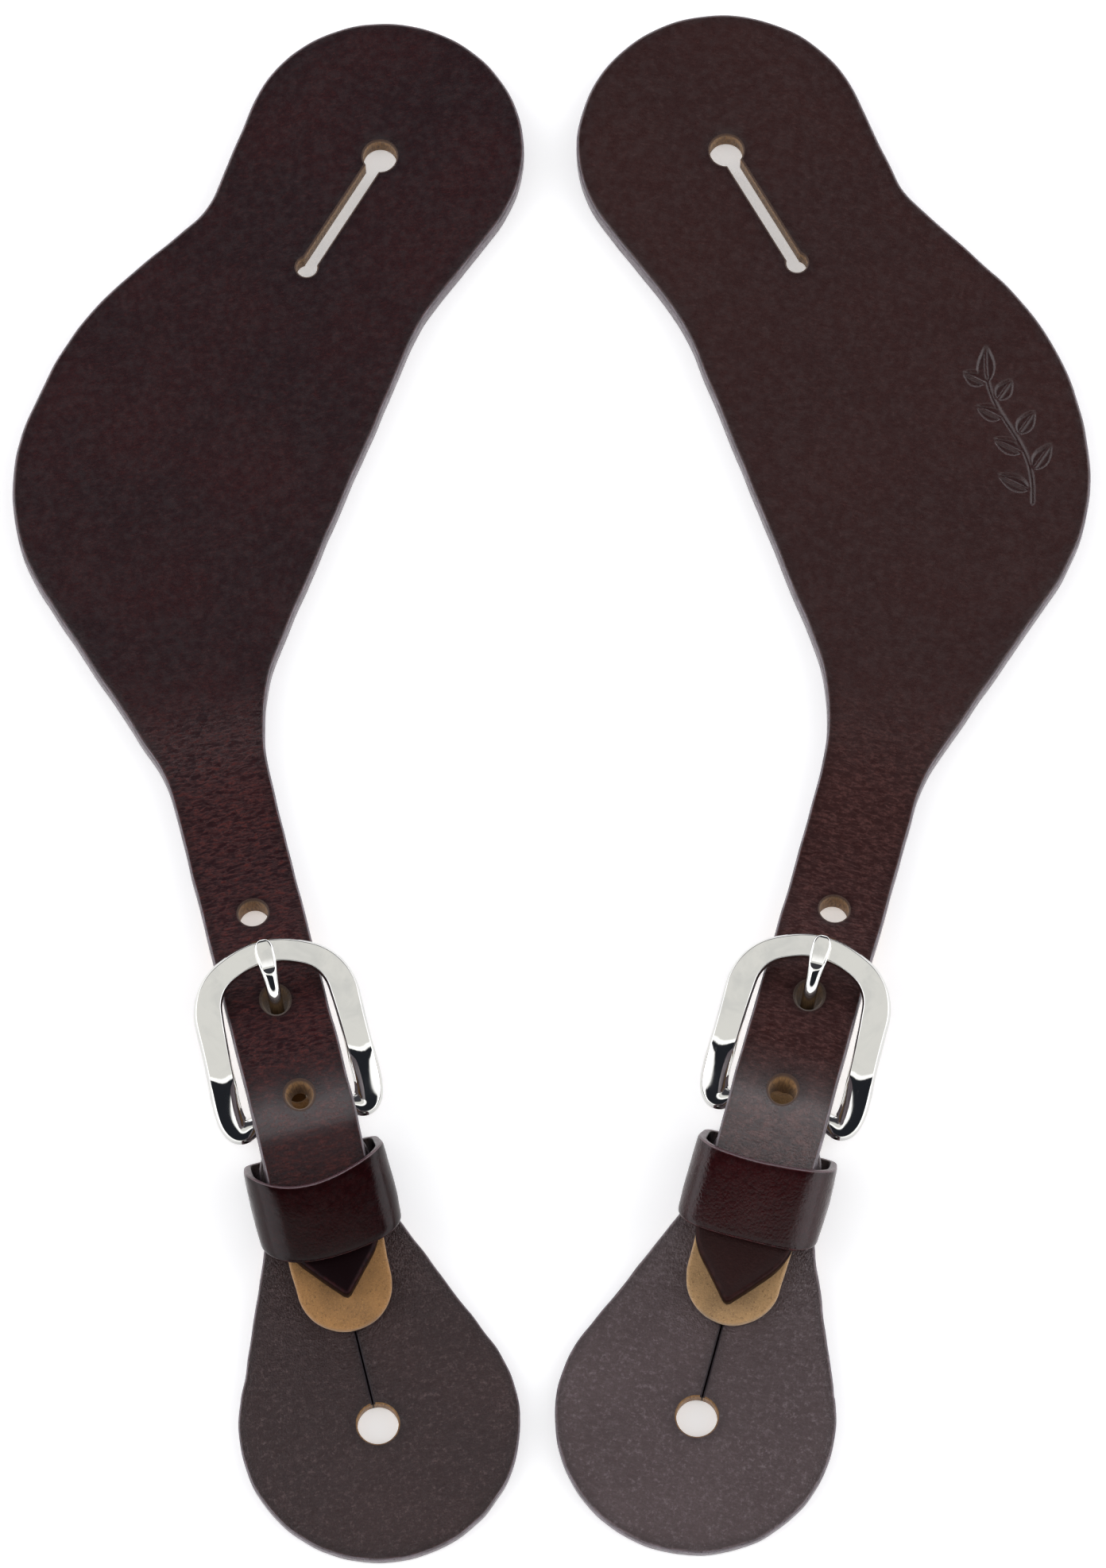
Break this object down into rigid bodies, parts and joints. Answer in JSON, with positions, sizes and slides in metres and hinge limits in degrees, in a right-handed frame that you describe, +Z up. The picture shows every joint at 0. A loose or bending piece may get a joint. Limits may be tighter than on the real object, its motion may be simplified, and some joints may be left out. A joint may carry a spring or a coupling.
{
  "type": "spur straps",
  "caption": "Pair of leather spur straps laid flat: shaped boot strap with keyhole, polished buckle and tongue, leather keeper, and round button strap with a slit button hole.",
  "frame": {"origin": "under the middle of the pair, on the table", "axes": "+Y towards the keyhole heads, +X from the left strap to the right one, +Z up from the table, grain side up"},
  "size_m": [0.203, 0.3048, 0.0177],
  "materials": {
    "boot_leather": "smooth oxblood-brown dyed grain, satin, mauve-brown dyed edges",
    "button_leather": "waxy brown pull-up grain, tan suede flesh side on the folded tab",
    "keeper_leather": "glossy oxblood, fine grain",
    "nickel": "polished bright nickel plate, faint handling marks",
    "staple_wire": "drawn steel wire",
    "thread": "waxed brown linen"
  },
  "bodies": {
    "left_boot_body": {"left_boot_strap": "boot_leather", "left_buckle_frame": "nickel"},
    "left_tongue_body": {"left_buckle_tongue": "nickel"},
    "left_button_body": {"left_button_strap": "button_leather", "left_billet_tip": "boot_leather", "left_chape_thread_inner": "thread", "left_chape_thread_outer": "thread"},
    "left_keeper_body": {"left_keeper": "keeper_leather", "left_keeper_staple": "staple_wire"},
    "right_boot_body": {"right_boot_strap": "boot_leather", "right_buckle_frame": "nickel"},
    "right_tongue_body": {"right_buckle_tongue": "nickel"},
    "right_button_body": {"right_button_strap": "button_leather", "right_billet_tip": "boot_leather", "right_chape_thread_inner": "thread", "right_chape_thread_outer": "thread"},
    "right_keeper_body": {"right_keeper": "keeper_leather", "right_keeper_staple": "staple_wire"}
  },
  "joints": [
    {"name": "left_strap_hinge", "type": "hinge", "parent": "left_boot_body", "child": "left_button_body", "pos_m": [-0.04533, -0.07013, 0.0053], "axis": [0.9707, 0.2402, 0], "range_deg": [0, 60]},
    {"name": "left_tongue_hinge", "type": "hinge", "parent": "left_boot_body", "child": "left_tongue_body", "pos_m": [-0.04533, -0.07013, 0.0053], "axis": [0.9707, 0.2402, 0], "range_deg": [0, 3]},
    {"name": "left_keeper_slide", "type": "slide", "parent": "left_button_body", "child": "left_keeper_body", "axis": [-0.2402, 0.9707, 0], "range_m": [0, 0.002]},
    {"name": "right_strap_hinge", "type": "hinge", "parent": "right_boot_body", "child": "right_button_body", "pos_m": [0.04157, -0.06913, 0.0053], "axis": [0.965, -0.2622, 0], "range_deg": [0, 60]},
    {"name": "right_tongue_hinge", "type": "hinge", "parent": "right_boot_body", "child": "right_tongue_body", "pos_m": [0.04157, -0.06913, 0.0053], "axis": [0.965, -0.2622, 0], "range_deg": [0, 3]},
    {"name": "right_keeper_slide", "type": "slide", "parent": "right_button_body", "child": "right_keeper_body", "axis": [0.2622, 0.965, 0], "range_m": [0, 0.002]},
    {"name": "pair_spread", "type": "slide", "parent": "left_boot_body", "child": "right_boot_body", "axis": [1, 0, 0], "range_m": [0, 0.15]}
  ]
}
